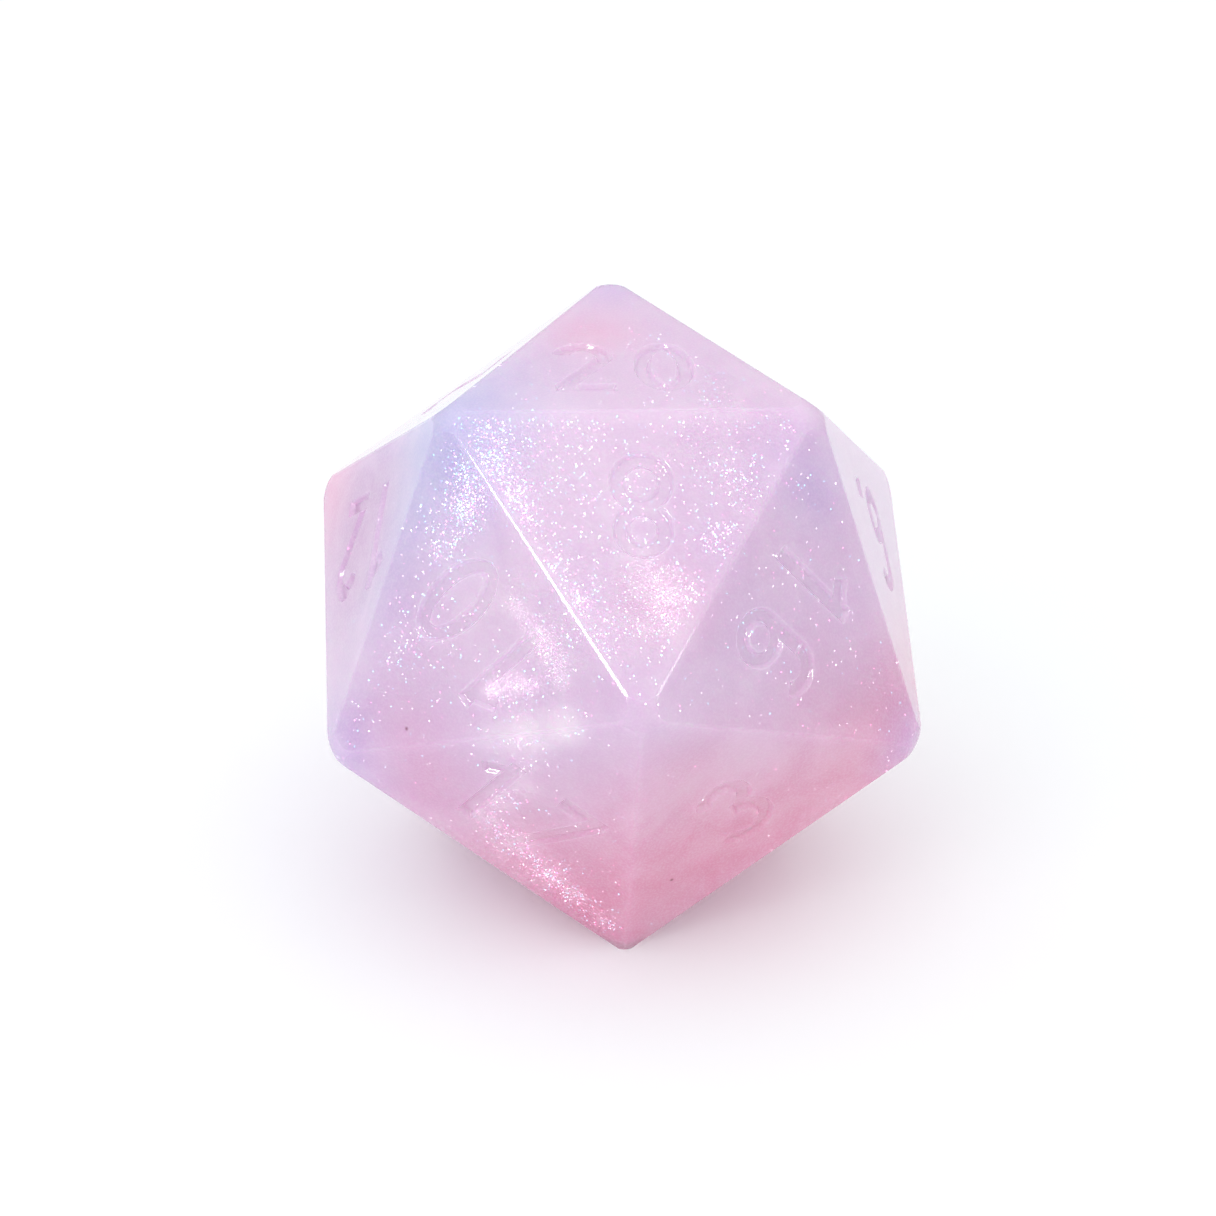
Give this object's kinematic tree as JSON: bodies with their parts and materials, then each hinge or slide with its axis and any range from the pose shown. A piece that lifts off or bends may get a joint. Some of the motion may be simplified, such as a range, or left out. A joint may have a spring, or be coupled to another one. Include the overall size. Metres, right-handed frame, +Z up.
{
  "type": "polyhedral die",
  "caption": "Icosahedral gaming die of translucent lilac and pink cast resin with recessed numerals, pearl wisps and glitter flakes inside.",
  "frame": {"origin": "centre of the face the die rests on, numbered 1", "axes": "+Z up through the face numbered 20; -Y towards the corner between the faces numbered 8, 10, 17, 3 and 16; +X to the right seen from there"},
  "size_m": [0.0236, 0.0266, 0.022],
  "materials": {
    "lilac_resin": "milky translucent cast resin, polished",
    "pink_resin": "milky translucent cast resin, polished",
    "blue_resin": "milky translucent cast resin, polished",
    "pearl": "pearl mica pigment",
    "silver_glitter": "metallised film glitter",
    "aqua_glitter": "iridescent film glitter",
    "pink_glitter": "iridescent film glitter"
  },
  "bodies": {
    "root": {"lilac_resin": "lilac_resin", "pink_resin": "pink_resin", "blue_resin": "blue_resin", "pearl_wisp_crown": "pearl", "pearl_wisp_shoulder": "pearl", "pearl_wisp_tail": "pearl", "pearl_wisp_foot": "pearl", "silver_flakes": "silver_glitter", "aqua_flakes": "aqua_glitter", "pink_flakes": "pink_glitter"}
  },
  "joints": []
}
